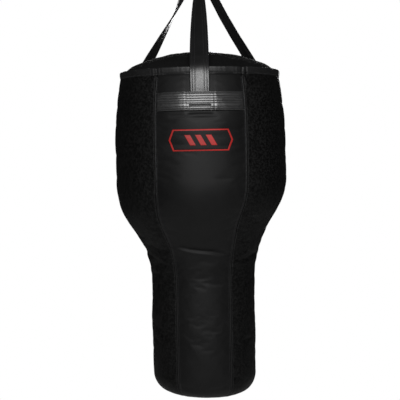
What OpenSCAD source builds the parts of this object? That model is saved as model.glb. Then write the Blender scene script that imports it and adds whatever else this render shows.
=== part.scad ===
// Heavy punching bag of the angled kind: a wide upper drum, a curved taper and a
// narrow lower drum. It hangs by three flat straps from a D-ring, a snap hook and a
// ball-bearing swivel. The origin is the centre of the swivel's top eye, the bag's
// axis is Z, and the front panel faces -Y. Millimetres.

/* [Bag body] */
// Outside radius of the upper drum
upper_r = 228.6; // [200:0.1:250]
// Outside radius of the lower drum
lower_r = 139.4; // [120:0.1:150]
// Height of the skin from the flat bottom to the rim
skin_h = 860; // [800:1:1000]
// Height from the rim down to the end of the upper drum's shoulder curve
shoulder_h = 150; // [120:1:180]
// Height from the rim down to the start of the taper
crown_h = 287; // [260:1:320]
// Radius of the convex curve that starts the taper
crown_r = 190; // [150:1:200]
// Radius of the concave curve that ends the taper
waist_r = 260; // [200:1:280]
// Slope of the taper, from the vertical
taper_deg = 30; // [26:0.5:32]
// Radius of the curve between the lower drum and the flat bottom
foot_r = 48; // [30:1:60]
// Thickness of the leather skin
skin_t = 2.5; // [1.5:0.1:4]
// Thickness of the foam liner
foam_t = 35; // [20:1:45]
// Number of skin panels round the bag
panels = 6; // [6:6]
// Gap between neighbouring panels, as an angle round the axis
seam_deg = 1; // [1:0.1:1.6]
// Thickness of the flat piping in a seam
welt_t = 1.6; // [1:0.1:1.6]

/* [Rim and cover] */
// Height of the stitched rim hem
hem_h = 22; // [16:1:30]
// Radius of the skin where the hem is stitched down
hem_r = 212.6; // [205:0.1:218]
// Height of the padded cover's flat top above the rim
cover_h = 44; // [30:1:50]
// Radius of the cover's flat top
cover_flat_r = 70; // [60:1:80]
// Radius of the cover's domed part
dome_r = 430; // [420:1:440]
// Length of the closing zip
zip_l = 110; // [80:10:110]
// Distance between zip teeth on one side
tooth_pitch = 5; // [4:0.5:6]

/* [Straps] */
// Width of the hanging straps
strap_w = 48; // [40:1:50]
// Thickness of the hanging straps
strap_t = 4; // [3:0.5:5]
// Height above the rim where the strap centre lines cross
strap_cross_h = 268; // [260:1:300]
// Height of the anchor bands
band_h = 47; // [40:1:60]
// Depth of an anchor band's top edge under the rim
band_drop = 66; // [50:1:80]
// Turn of the hook and the D-ring about the axis, from +X
hang_turn = 22; // [0:1:45]

/* [Hook and swivel] */
// Bore radius of the top eye
eye_bore_r = 13; // [12:0.5:14]
// Radius of the eye's threaded shank
shank_r = 7; // [6:0.5:7]
// Wire radius of the snap hook
hook_wire_r = 5.5; // [4.5:0.25:5.5]
// Half the width of the hook's bow, to the middle of its wire
bow_r = 17; // [16:0.5:18]
// Wire radius of the D-ring
ring_wire_r = 4.5; // [4:0.25:5]
// Radius of the clevis pin
pin_r = 5; // [4:0.5:5]
// Radius of the gate pin
gate_pin_r = 2; // [1.5:0.25:2.25]

/* [Hidden] */
$fn = 96;

leather = [0.09, 0.09, 0.095];
side_leather = [0.06, 0.06, 0.065];
fabric = [0.04, 0.04, 0.045];
red = [0.6, 0.08, 0.08];
foam_grey = [0.45, 0.45, 0.48];
steel = [0.7, 0.71, 0.73];
zinc = [0.6, 0.61, 0.62];
gap = 0.1;

// Heights of the hardware, from the eye's centre down
pin_z = -95;
bow_drop = 66;
bow_flat = 4;
hook_bottom_z = pin_z - bow_drop - bow_r + bow_flat;
ring_top_z = hook_bottom_z + hook_wire_r + ring_wire_r + 0.3;
ring_r = 30;
ring_corner_r = 8;
ring_bar_z = ring_top_z - ring_r - ring_corner_r;
yoke_h = 320;
rim_z = ring_bar_z - yoke_h;

// Heights of the body's curves, from the rim down
shoulder_arc_r = (pow(shoulder_h - hem_h, 2) + pow(upper_r - hem_r, 2)) / 2 / (upper_r - hem_r);
crown_end_r = upper_r - crown_r + crown_r * cos(taper_deg);
crown_end_z = -crown_h - crown_r * sin(taper_deg);
waist_start_r = lower_r + waist_r * (1 - cos(taper_deg));
waist_start_z = crown_end_z - (crown_end_r - waist_start_r) / tan(taper_deg);
waist_end_z = waist_start_z - waist_r * sin(taper_deg);
foot_z = foot_r - skin_h;
bottom_r = lower_r - foot_r - 6;
panel_deg = 360 / panels;

function arc(c, r, a0, a1, n = 14) =
    [for (i = [0 : n]) c + r * [cos(a0 + (a1 - a0) * i / n), sin(a0 + (a1 - a0) * i / n)]];
function reverse(p) = [for (i = [len(p) - 1 : -1 : 0]) p[i]];
function unit(v) = v / norm(v);
function clamp(x, lo, hi) = min(max(x, lo), hi);
function ease(x) = let (s = clamp(x, 0, 1)) s * s * (3 - 2 * s);

// The outline's stretches at a depth under the skin's outer face, as [radius, height]
function shoulder_curve(depth) = arc(
    [upper_r - shoulder_arc_r, -shoulder_h], shoulder_arc_r - depth,
    asin((shoulder_h - hem_h) / shoulder_arc_r), 0);
function crown_curve(depth) = arc(
    [upper_r - crown_r, -crown_h], crown_r - depth, 0, -taper_deg);
function waist_curve(depth) = arc(
    [lower_r + waist_r, waist_end_z], waist_r + depth, 180 - taper_deg, 180);
function foot_curve(depth) = arc(
    [lower_r - foot_r, foot_z], foot_r - depth, 0, -90);
function side_curve(depth) = concat(
    shoulder_curve(depth), crown_curve(depth), waist_curve(depth), foot_curve(depth));

// Radius of the skin on the shoulder, where the bands and straps lie
function shoulder_radius(z) =
    upper_r - shoulder_arc_r + sqrt(pow(shoulder_arc_r, 2) - pow(z + shoulder_h, 2));

// Places a child at an angle round the bag, 0 at the front and + to the right
module at_angle(deg) {
    translate([0, 0, rim_z])
        rotate([0, 0, deg - 90])
            children();
}

module segment(deg, width_deg) {
    at_angle(deg - width_deg / 2)
        rotate_extrude(angle = width_deg)
            children();
}

module turned() {
    translate([0, 0, rim_z])
        rotate_extrude()
            children();
}

// One leather gore, from inside the hem to the bottom seam
module panel(deg) {
    hem_under = hem_r - 0.8;
    segment(deg, panel_deg - seam_deg)
        polygon(concat(
            [[hem_under, -4], [hem_under, 0.4 - hem_h]],
            side_curve(0),
            [[bottom_r, -skin_h], [bottom_r, skin_t - skin_h]],
            reverse(side_curve(skin_t)),
            [[hem_under - skin_t, -4]]));
}

// The flat piping in one seam, standing a little proud of the gores beside it
module welt(deg) {
    proud = 1.5;
    at_angle(deg)
        rotate([90, 0, 0])
            linear_extrude(height = welt_t, center = true)
                polygon(concat(
                    side_curve(-proud),
                    [[bottom_r, -skin_h - proud], [bottom_r, skin_t - skin_h]],
                    reverse(side_curve(skin_t))));
}

module bottom_panel() {
    color(side_leather)
        translate([0, 0, rim_z - skin_h])
            cylinder(r = bottom_r - 3, h = skin_t);
}

module bottom_welt() {
    color(fabric)
        translate([0, 0, rim_z - skin_h])
            difference() {
                translate([0, 0, -1])
                    cylinder(r = bottom_r - gap, h = skin_t + 1);
                translate([0, 0, -2])
                    cylinder(r = bottom_r - 3 + gap, h = skin_t + 4);
            }
}

// The folded binding over the top edge of the gores
module rim_hem() {
    color(side_leather)
        turned()
            polygon([
                [hem_r - 0.7, 1 - hem_h], [hem_r + 0.9, 1 - hem_h], [hem_r + 2.6, -2],
                [hem_r + 1.2, 1.5], [hem_r - 6, 1.5], [hem_r - 6, -hem_h],
                [hem_r - 3.6, -hem_h], [hem_r - 3.6, -3], [hem_r - 0.7, -3]]);
}

module front_patch() {
    patch_deg = 42;
    patch_top = 158;
    patch_bottom = 212;
    color(red)
        segment(0, patch_deg)
            polygon([
                [upper_r + 0.2, -patch_top], [upper_r + 1.2, -patch_top],
                [upper_r + 1.2, -patch_bottom], [upper_r + 0.2, -patch_bottom]]);
}

// Section of an anchor band between two heights over the skin
module band_section(inner, outer, extra) {
    band_z = [for (i = [0 : 6]) extra - band_drop - (band_h + 2 * extra) * i / 6];
    polygon(concat(
        [for (z = band_z) [shoulder_radius(z) + outer, z]],
        [for (z = reverse(band_z)) [shoulder_radius(z) + inner, z]]));
}

// A leather band sewn into a panel's two seams, with a pocket for the strap's end
module band(panel_middle, strap_deg) {
    pocket_deg = strap_w / upper_r * 180 / PI + 2;
    over_strap = strap_t + 2.3;
    color(leather)
        difference() {
            segment(panel_middle, panel_deg - 1.4)
                band_section(gap, over_strap + 2.4, 0);
            segment(strap_deg, pocket_deg)
                band_section(-3, over_strap, 1);
        }
}

// Straps: [angle round the bag, twist up to the yoke, how late the twist comes,
// place in the yoke's stack of three]
front_strap = [0, -68, 1, 0];
left_strap = [-130, 62, 1.15, -1];
right_strap = [130, -18, 0.5, 1];
strap_rim_r = hem_r + 6.1;
strap_tail_z = -98;
strap_end_h = 297;
twist_end_h = 210;
flat_h = 262;
u_dir = [-sin(hang_turn), cos(hang_turn)];
n_dir = [cos(hang_turn), sin(hang_turn)];

// Radius of a strap's middle where it lies on the body and bends over the rim
function strap_low_r(z) =
    let (band_r = shoulder_radius(min(z, -band_drop)) + strap_t / 2 + 0.3)
    let (on_body = z < -band_drop ? band_r : strap_rim_r + (strap_rim_r - band_r) * z / band_drop)
    let (in_air = strap_rim_r * (1 - z / strap_cross_h))
    (on_body + in_air) / 2 - sqrt(pow(on_body - in_air, 2) / 4 + 2);
function soft_positive(x) = (x + sqrt(x * x + 4)) / 2;
function strap_point(s, z) =
    let (out = [sin(s[0]), -cos(s[0])])
    let (across = (out * u_dir) * strap_rim_r * (1 - z / strap_cross_h))
    let (level = (out * n_dir) * soft_positive(strap_rim_r * (1 - z / flat_h)))
    let (stack = s[3] * (strap_t + 2.5) * ease((z - 140) / 90))
    let (xy = z < 20 ? out * strap_low_r(z) : u_dir * across + n_dir * (level + stack))
    [xy[0], xy[1], z];
function strap_turn(s, z) = s[0] + s[1] * pow(clamp(z / twist_end_h, 0, 1), s[2]);
function strap_ring(s, z) =
    let (along = unit(strap_point(s, z + 0.5) - strap_point(s, z - 0.5)))
    let (level = [cos(strap_turn(s, z)), sin(strap_turn(s, z)), 0])
    let (wide = unit(level - (level * along) * along) * strap_w / 2)
    let (thick = cross(unit(wide), along) * strap_t / 2)
    let (p = strap_point(s, z))
    [p - wide - thick, p + wide - thick, p + wide + thick, p - wide + thick];

// A strap as one swept band with four corners at each station
module strap(s) {
    stations = concat(
        [for (z = [strap_tail_z : 14 : -14]) z], [-6, -2, 1, 4, 8, 14],
        [for (z = [24 : 12 : 252]) z], [258, 262, 265, 268, 271, 275, 282, strap_end_h]);
    rings = [for (z = stations) strap_ring(s, z)];
    last = 4 * len(rings) - 4;
    sides = [for (k = [0 : len(rings) - 2]) for (c = [0 : 3])
        let (a = 4 * k + c)
        let (b = 4 * k + (c + 1) % 4)
        each [[a, b, a + 4], [b, b + 4, a + 4]]];
    ends = [[0, 2, 1], [0, 3, 2],
        [last, last + 1, last + 2], [last, last + 2, last + 3]];
    color(leather)
        translate([0, 0, rim_z])
            polyhedron(points = [for (r = rings) each r], faces = concat(sides, ends));
}

// The leather yoke folded over the D-ring's bar, with the strap ends between its leaves
module strap_yoke() {
    inner = 9.4;
    leaf_t = 3.2;
    leaf_bottom = 272;
    fold_h = yoke_h + ring_wire_r + gap - inner;
    color(leather)
        translate([0, 0, rim_z])
            rotate([0, 0, hang_turn])
                intersection() {
                    rotate([90, 0, 0])
                        linear_extrude(height = 120, center = true)
                            difference() {
                                union() {
                                    translate([0, fold_h])
                                        circle(r = inner + leaf_t);
                                    translate([-inner - leaf_t, leaf_bottom])
                                        square([2 * (inner + leaf_t), fold_h - leaf_bottom]);
                                }
                                translate([0, fold_h])
                                    circle(r = inner);
                                translate([-inner, leaf_bottom - 1])
                                    square([2 * inner, fold_h - leaf_bottom + 1]);
                            }
                    rotate([90, 0, 90])
                        linear_extrude(height = 60, center = true)
                            polygon([
                                [-38, leaf_bottom], [38, leaf_bottom], [46, 292],
                                [46, 297], [21, 313], [21, 340], [-21, 340],
                                [-21, 313], [-46, 297], [-46, 292]]);
                }
}

// The padded cover over the bag's mouth, with the slot for its zip
dome_z = cover_h - sqrt(pow(dome_r, 2) - pow(cover_flat_r, 2));
function cover_curve(depth) = concat(
    [[hem_r - 6.2 - depth, -hem_h + 4], [hem_r - 6.2 - depth, -hem_h / 2]],
    arc([0, dome_z], dome_r - depth, 62.5, acos(cover_flat_r / dome_r)));

module top_cover() {
    cover_t = 2.2;
    color(fabric)
        difference() {
            turned()
                polygon(concat(
                    cover_curve(0), [[0, cover_h], [0, cover_h - cover_t]],
                    reverse(cover_curve(cover_t))));
            translate([-zip_l / 2, -3.2, rim_z + cover_h - 10])
                cube([zip_l, 6.4, 20]);
        }
}

zip_z = rim_z + cover_h;
module zip_tape(side) {
    tape_w = 13;
    color(side_leather)
        translate([-zip_l / 2 - 6, side > 0 ? 3.1 : -3.1 - tape_w, zip_z + gap])
            cube([zip_l + 12, tape_w, 1]);
}

module zip_teeth() {
    tooth = [1.9, 3.8, 2.4];
    color(steel)
        for (x = [-zip_l / 2 + 2 : tooth_pitch : zip_l / 2 - 6]) {
            translate([x, -3, zip_z - 0.6])
                cube(tooth);
            translate([x + tooth_pitch / 2, -0.8, zip_z - 0.6])
                cube(tooth);
        }
}

module zip_stops() {
    color(steel)
        for (side = [-1, 1])
            translate([side * (zip_l / 2 + 2.5) - 1.5, -3, zip_z + gap])
                cube([3, 6, 3]);
}

slider_x = zip_l / 2 - 10;
pull_z = zip_z + 6.6;
module zip_slider() {
    plate_z = zip_z + 2.2;
    color(steel)
        translate([slider_x, 0, 0]) {
            difference() {
                translate([-7, -5.5, plate_z])
                    cube([14, 11, 2.2]);
                translate([-8, -4.2, plate_z - 1])
                    cube([16, 8.4, 1.4]);
            }
            translate([-5, -1.2, plate_z + 2])
                cube([1.4, 2.4, 5]);
            translate([3.6, -1.2, plate_z + 2])
                cube([1.4, 2.4, 5]);
            translate([-5, -1.2, plate_z + 5.6])
                cube([10, 2.4, 1.4]);
        }
}

module zip_pull() {
    color(steel)
        translate([slider_x, 0, pull_z]) {
            rotate([90, 0, 0])
                cylinder(r = 0.8, h = 8, center = true, $fn = 32);
            for (side = [-1, 1])
                translate([-10, side * 3.2 - 0.8, -0.8])
                    cube([10, 1.6, 1.6]);
            difference() {
                translate([-34, -4.5, -0.8])
                    cube([25, 9, 1.6]);
                translate([-30, 0, -2])
                    cylinder(r = 2.2, h = 4);
            }
        }
}

// Foam liner and filling: sleeves between two depths under the skin
foam_out = skin_t + 0.3;
foam_in = skin_t + foam_t;
foam_top_z = -hem_h - 2;

module foam_sleeve(outer, inner) {
    color(foam_grey)
        turned()
            polygon(concat(outer, reverse(inner)));
}

module foam_upper() {
    below_hem = [for (p = shoulder_curve(foam_out)) if (p[1] < foam_top_z - 1) p];
    foam_sleeve(
        concat([[hem_r - 6.6, foam_top_z]], below_hem, [[upper_r - foam_out, -crown_h]]),
        [[upper_r - foam_in, foam_top_z], [upper_r - foam_in, -crown_h]]);
}

module foam_taper() {
    foam_sleeve(
        concat(crown_curve(foam_out), [waist_curve(foam_out)[0]]),
        concat(crown_curve(foam_in), [waist_curve(foam_in)[0]]));
}

module foam_neck() {
    foam_sleeve(waist_curve(foam_out), waist_curve(foam_in));
}

module foam_lower() {
    foam_sleeve(
        [[lower_r - foam_out, waist_end_z], [lower_r - foam_out, foot_z]],
        [[lower_r - foam_in, waist_end_z], [lower_r - foam_in, foot_z]]);
}

module foam_base() {
    color(foam_grey)
        turned()
            polygon(concat([[0, foot_z]], foot_curve(foam_out), [[0, foam_out - skin_h]]));
}

module foam_top() {
    under = 2.6;
    color(foam_grey)
        turned()
            polygon(concat(
                [[0, foam_top_z]], [[hem_r - 6.6 - under, foam_top_z]],
                [for (p = cover_curve(under)) if (p[1] > 0) p], [[0, cover_h - under]]));
}

module textile_filling() {
    depth = foam_in + gap;
    color("dimgray")
        turned()
            polygon(concat(
                [[0, foam_top_z - gap], [upper_r - depth, foam_top_z - gap]],
                crown_curve(depth), waist_curve(depth),
                [[lower_r - depth, foot_z + gap], [0, foot_z + gap]]));
}

// Hardware: X is across the hook and Y along the clevis pin, turned by hang_turn
module hang_frame(z) {
    translate([0, 0, z])
        rotate([0, 0, hang_turn])
            children();
}

// A round bar between two points of the XZ plane, with a knuckle at its far end
module bar(a, b, r, knuckle_r = 0) {
    d = b - a;
    translate([a[0], 0, a[1]])
        rotate([0, atan2(d[0], d[1]), 0])
            cylinder(r = r, h = norm(d));
    if (knuckle_r > 0)
        translate([b[0], 0, b[1]])
            sphere(r = knuckle_r);
}

// A bent round bar in the XZ plane
module bent_bar(c, bend_r, from_deg, sweep_deg, r) {
    translate([c[0], 0, c[1]])
        rotate([90, 0, 0])
            rotate([0, 0, from_deg])
                rotate_extrude(angle = sweep_deg)
                    translate([bend_r, 0])
                        circle(r = r);
}

module d_ring() {
    mid_z = ring_top_z - ring_r;
    straight = ring_r - ring_corner_r;
    color(steel)
        hang_frame(mid_z)
            rotate([0, 0, 90]) {
                bent_bar([0, 0], ring_r, 0, 180, ring_wire_r);
                bent_bar([straight, 0], ring_corner_r, -90, 90, ring_wire_r);
                bent_bar([-straight, 0], ring_corner_r, 180, 90, ring_wire_r);
                translate([-straight, 0, -ring_corner_r])
                    rotate([0, 90, 0])
                        cylinder(r = ring_wire_r, h = 2 * straight);
            }
}

gate_x = 16;
gate_z = -22;
module hook_body() {
    eye_t = 11;
    lug_r = 6;
    color(steel)
        hang_frame(pin_z)
            difference() {
                union() {
                    rotate([90, 0, 0])
                        cylinder(r = 12.5, h = eye_t, center = true);
                    bar([-7, -8], [-bow_r, -28], hook_wire_r - 0.2, hook_wire_r + 0.3);
                    bar([-bow_r, -28], [-bow_r, -bow_drop], hook_wire_r);
                    bent_bar([-bow_flat, -bow_drop], bow_r - bow_flat, 180, 90, hook_wire_r);
                    bar([-bow_flat, bow_flat - bow_drop - bow_r],
                        [bow_flat, bow_flat - bow_drop - bow_r], hook_wire_r);
                    bent_bar([bow_flat, -bow_drop], bow_r - bow_flat, 270, 90, hook_wire_r);
                    bar([bow_r, -bow_drop], [bow_r, 4 - bow_drop],
                        hook_wire_r, hook_wire_r + 0.5);
                    bar([6, -7], [gate_x, gate_z], hook_wire_r - 0.7);
                    translate([gate_x, 0, gate_z])
                        rotate([90, 0, 0])
                            cylinder(r = lug_r, h = eye_t, center = true);
                }
                rotate([90, 0, 0])
                    cylinder(r = pin_r + 0.06, h = 40, center = true);
                translate([gate_x, 0, gate_z])
                    rotate([90, 0, 0]) {
                        cylinder(r = lug_r + 0.6, h = 5.4, center = true);
                        cylinder(r = gate_pin_r, h = 40, center = true);
                    }
            }
}

module gate_pin() {
    color(zinc)
        hang_frame(pin_z)
            translate([gate_x, 0, gate_z])
                rotate([90, 0, 0]) {
                    cylinder(r = gate_pin_r - 0.02, h = 11, center = true);
                    for (side = [-1, 1])
                        translate([0, 0, side * 6.1])
                            cylinder(r = gate_pin_r + 1.4, h = 1.1, center = true);
                }
}

// The gate: two cheeks round the pin with the spring between them, and a round tongue
module hook_gate() {
    tip = [8.3, -60];
    root = [gate_x - 1.2, gate_z - 6.2];
    color(zinc)
        hang_frame(pin_z)
            difference() {
                union() {
                    for (side = [-1, 1])
                        translate([gate_x, side * 1.95, gate_z])
                            rotate([90, 0, 0])
                                cylinder(r = 5.6, h = 1.2, center = true);
                    bar(root, tip, 2.7, 2.9);
                    translate([root[0], 0, root[1]])
                        rotate([90, 0, 0])
                            cylinder(r = 2.6, h = 5.1, center = true);
                }
                translate([gate_x, 0, gate_z])
                    rotate([90, 0, 0]) {
                        cylinder(r = gate_pin_r + 0.05, h = 40, center = true);
                        cylinder(r = 4.5, h = 2.7, center = true);
                    }
            }
}

// The gate's torsion spring: three turns of wire round the pin
module gate_spring() {
    wire_r = 0.4;
    coil_r = 3.2;
    color(steel)
        hang_frame(pin_z)
            translate([gate_x, 0, gate_z])
                rotate([90, 0, 0])
                    for (turn = [-1, 0, 1])
                        translate([0, 0, turn * 2 * wire_r])
                            rotate_extrude()
                                translate([coil_r, 0])
                                    circle(r = wire_r, $fn = 24);
}

housing_top_z = -34;
housing_r = 21;
cavity_r = 17;
cavity_top_z = -40;
cavity_bottom_z = -72;
module swivel_housing() {
    color(steel)
        difference() {
            union() {
                translate([0, 0, cavity_bottom_z])
                    cylinder(r = housing_r, h = housing_top_z - cavity_bottom_z - 3);
                translate([0, 0, housing_top_z - 3])
                    cylinder(r1 = housing_r, r2 = housing_r - 3, h = 3);
            }
            translate([0, 0, cavity_bottom_z - 1])
                cylinder(r = cavity_r, h = cavity_top_z - cavity_bottom_z + 1);
            translate([0, 0, cavity_top_z - 1])
                cylinder(r = shank_r + 0.08, h = 12);
        }
}

module swivel_clevis() {
    flange_t = 6;
    ear_in = 5.75;
    ear_t = 6;
    ear_r = 12;
    flange_z = cavity_bottom_z - flange_t;
    color(steel)
        hang_frame(0)
            difference() {
                union() {
                    translate([0, 0, flange_z])
                        cylinder(r = housing_r, h = flange_t - 0.05);
                    translate([0, 0, flange_z])
                        cylinder(r = cavity_r - gap, h = flange_t + 2.8);
                    for (side = [-1, 1])
                        translate([0, side * (ear_in + ear_t / 2), 0]) {
                            translate([-ear_r, -ear_t / 2, pin_z])
                                cube([2 * ear_r, ear_t, flange_z - pin_z + 1]);
                            translate([0, 0, pin_z])
                                rotate([90, 0, 0])
                                    cylinder(r = ear_r, h = ear_t, center = true);
                        }
                }
                translate([0, 0, pin_z])
                    rotate([90, 0, 0])
                        cylinder(r = pin_r + 0.03, h = 60, center = true);
            }
}

pin_head_y = -11.85;
pin_end_y = 18.5;
cotter_y = 14.4;
module clevis_pin() {
    color(zinc)
        hang_frame(pin_z)
            rotate([-90, 0, 0])
                difference() {
                    union() {
                        translate([0, 0, pin_head_y])
                            cylinder(r = pin_r, h = pin_end_y - pin_head_y);
                        translate([0, 0, pin_head_y - 3])
                            cylinder(r = pin_r + 3, h = 3);
                    }
                    translate([0, 0, cotter_y])
                        rotate([90, 0, 0])
                            cylinder(r = 1.3, h = 30, center = true);
                }
}

// A split pin: a round shank with an eye at one end
module cotter(shank_l, wire_r) {
    translate([0, 0, -shank_l / 2])
        cylinder(r = wire_r, h = shank_l);
    translate([0, 0, shank_l / 2 + 2.6])
        rotate([90, 0, 0])
            rotate_extrude()
                translate([2.6, 0])
                    circle(r = wire_r, $fn = 32);
}

module clevis_cotter() {
    color(zinc)
        hang_frame(pin_z)
            translate([0, cotter_y, 0])
                cotter(16, 1.2);
}

ball_r = 2.5;
ball_circle_r = 12.4;
ball_z = -45.4;
race_gap = 1.5;
module race(low_z, height, bore_r) {
    color(zinc)
        difference() {
            translate([0, 0, low_z])
                cylinder(r = cavity_r - 0.3, h = height);
            translate([0, 0, low_z - 1])
                cylinder(r = bore_r, h = height + 2);
            translate([0, 0, ball_z])
                rotate_extrude()
                    translate([ball_circle_r, 0])
                        circle(r = ball_r + 0.2);
        }
}

module race_upper() {
    race(ball_z + race_gap, cavity_top_z - gap - ball_z - race_gap, shank_r + 1);
}

module race_lower() {
    race(ball_z - race_gap - 3.5, 3.5, shank_r + 0.05);
}

module thrust_balls() {
    balls = 12;
    color(steel)
        for (i = [0 : balls - 1])
            rotate([0, 0, i * 360 / balls])
                translate([ball_circle_r, 0, ball_z])
                    sphere(r = ball_r, $fn = 48);
}

shank_end_z = -66.5;
cotter_z = -63.4;
module hanger_eye() {
    eye_r = 27;
    eye_t = 14;
    edge_r = 4;
    color(steel)
        difference() {
            union() {
                rotate([90, 0, 0])
                    rotate_extrude()
                        difference() {
                            translate([eye_bore_r, -eye_t / 2])
                                square([eye_r - eye_bore_r, eye_t]);
                            for (side = [-1, 1])
                                translate([eye_r - edge_r, side * (eye_t / 2 - edge_r)])
                                    difference() {
                                        translate([0, side > 0 ? 0 : -edge_r - 1])
                                            square([edge_r + 1, edge_r + 1]);
                                        circle(r = edge_r);
                                    }
                        }
                translate([0, 0, shank_end_z])
                    cylinder(r = shank_r, h = -shank_end_z - eye_r + 5);
            }
            translate([0, 0, cotter_z])
                rotate([0, 90, 0])
                    cylinder(r = 1.3, h = 30, center = true);
        }
}

module shank_nut() {
    across_flats = 22;
    nut_h = 9.8;
    nut_top_z = ball_z - race_gap - 3.6;
    color(zinc)
        difference() {
            translate([0, 0, nut_top_z - nut_h])
                cylinder(r = across_flats / sqrt(3), h = nut_h, $fn = 6);
            translate([0, 0, nut_top_z - nut_h - 1])
                cylinder(r = shank_r + 0.05, h = nut_h + 2);
        }
}

module shank_cotter() {
    color(zinc)
        translate([0, 0, cotter_z])
            rotate([0, 90, 0])
                cylinder(r = 1.2, h = 24, center = true);
}

color(leather) panel(0);  // panel_front
color(side_leather) panel(-60);  // panel_front_left
color(leather) panel(-120);  // panel_rear_left
color(side_leather) panel(180);  // panel_rear
color(leather) panel(120);  // panel_rear_right
color(side_leather) panel(60);  // panel_front_right
color(fabric) welt(-30);  // welt_front_left
color(fabric) welt(-90);  // welt_left
color(fabric) welt(-150);  // welt_rear_left
color(fabric) welt(150);  // welt_rear_right
color(fabric) welt(90);  // welt_right
color(fabric) welt(30);  // welt_front_right
bottom_panel();
bottom_welt();
rim_hem();
front_patch();
band(0, front_strap[0]);  // band_front
band(-120, left_strap[0]);  // band_left
band(120, right_strap[0]);  // band_right
strap(front_strap);  // strap_front
strap(left_strap);  // strap_left
strap(right_strap);  // strap_right
strap_yoke();
top_cover();
zip_tape(-1);  // zip_tape_front
zip_tape(1);  // zip_tape_rear
zip_teeth();
zip_stops();
zip_slider();
zip_pull();
foam_upper();
foam_taper();
foam_neck();
foam_lower();
foam_base();
foam_top();
textile_filling();
d_ring();
hook_body();
gate_pin();
hook_gate();
gate_spring();
swivel_housing();
swivel_clevis();
clevis_pin();
clevis_cotter();
race_upper();
race_lower();
thrust_balls();
hanger_eye();
shank_nut();
shank_cotter();
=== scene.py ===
"""The looks of the heavy punching bag: leather gores, welts, stitched bands and straps, the
padded cover with its zip, and the materials of the hardware. Lengths are in metres."""
import math

import bmesh
import bpy
import numpy as np
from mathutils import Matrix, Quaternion, Vector, noise


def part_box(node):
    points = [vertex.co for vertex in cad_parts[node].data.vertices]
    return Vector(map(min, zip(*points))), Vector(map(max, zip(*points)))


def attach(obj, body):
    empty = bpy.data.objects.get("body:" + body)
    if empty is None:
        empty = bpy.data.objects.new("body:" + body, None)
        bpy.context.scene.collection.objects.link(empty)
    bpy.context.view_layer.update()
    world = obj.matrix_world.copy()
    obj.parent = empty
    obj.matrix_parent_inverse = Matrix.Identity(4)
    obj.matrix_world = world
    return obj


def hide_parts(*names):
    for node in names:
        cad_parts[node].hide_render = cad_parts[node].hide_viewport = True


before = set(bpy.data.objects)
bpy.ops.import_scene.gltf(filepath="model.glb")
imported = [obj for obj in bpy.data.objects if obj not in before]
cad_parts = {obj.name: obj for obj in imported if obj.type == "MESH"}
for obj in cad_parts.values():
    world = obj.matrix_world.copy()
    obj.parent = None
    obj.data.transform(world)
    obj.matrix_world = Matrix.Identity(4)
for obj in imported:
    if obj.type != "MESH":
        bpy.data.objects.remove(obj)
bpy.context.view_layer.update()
MM = 0.001

# ---- sizes, from the frame
RIM_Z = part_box("rim_hem")[1].z - 1.5 * MM
SKIN_H = RIM_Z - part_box("bottom_panel")[0].z
UPPER_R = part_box("panel_front_right")[1].x
LOWER_R = 139.4 * MM
HEM_R = 212.6 * MM
HEM_H = 22 * MM
SHOULDER_H = 150 * MM
CROWN_H = 287 * MM
CROWN_R = 190 * MM
WAIST_R = 260 * MM
FOOT_R = 48 * MM
TAPER = math.radians(30)
BASE_R = LOWER_R - FOOT_R - 6 * MM
SKIN_T = 2.5 * MM
COVER_R = HEM_R - 6.2 * MM
COVER_H = 44 * MM
COVER_FLAT_R = 70 * MM
DOME_R = 430 * MM
BAND_TOP, BAND_H = -66 * MM, 47 * MM
STRAP_W, STRAP_T = 48 * MM, 4 * MM
STRAP_RIM_R = HEM_R + 6.1 * MM
STRAP_CROSS_H = 268 * MM
STRAP_TAIL, STRAP_END = -98 * MM, 297 * MM
TWIST_END, FLAT_H = 210 * MM, 262 * MM
HANG_TURN = math.radians(22)
# The bottom's sag and how much more on the right, the taper's lean, the shoulder's narrowing
SAG, SAG_TILT = 8.5 * MM, 3.5 * MM
LEAN, LEAN_Z = 7.6 * MM, -396 * MM
NARROWING, NARROWING_Z = 4 * MM, -88 * MM
SHOULDER_R = ((SHOULDER_H - HEM_H) ** 2 + (UPPER_R - HEM_R) ** 2) / 2 / (UPPER_R - HEM_R)
SEAM_DEG = 60
PANELS = {
    "panel_front": 0, "panel_front_right": 60, "panel_rear_right": 120,
    "panel_rear": 180, "panel_rear_left": -120, "panel_front_left": -60}
SMOOTH_PANELS = ("panel_front", "panel_rear_left", "panel_rear_right")
WELTS = {
    "welt_front_left": -30, "welt_left": -90, "welt_rear_left": -150,
    "welt_rear_right": 150, "welt_right": 90, "welt_front_right": 30}
# middle of the gore, and the angle of the strap under the band
BANDS = {"band_front": (0, 0), "band_left": (-120, -130), "band_right": (120, 130)}
# angle round the bag, twist up to the yoke, how late the twist comes, place in the stack
STRAPS = {
    "strap_front": (0, -68, 1.0, 0),
    "strap_left": (-130, 62, 1.15, -1),
    "strap_right": (130, -18, 0.5, 1)}


# ---- small maths
def arc(cr, cz, r, a0, a1, n):
    """Points on an arc about (cr, cz), as [radius, height]."""
    a = np.linspace(a0, a1, n)
    return np.stack([cr + r * np.cos(a), cz + r * np.sin(a)], 1)


def bump(x, width):
    return np.exp(-(x / width) ** 2)


def ease(x):
    x = np.clip(x, 0, 1)
    return x * x * (3 - 2 * x)


def unit(v):
    return v / np.linalg.norm(v, axis=-1, keepdims=True)


def normals(path):
    """Unit vectors square to a flat path, on its left."""
    along = unit(np.gradient(path, axis=0))
    return np.stack([-along[:, 1], along[:, 0]], 1)


def wrapped(degrees):
    """The same angle from -180 to 180."""
    return (np.asarray(degrees, float) + 180) % 360 - 180


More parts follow.
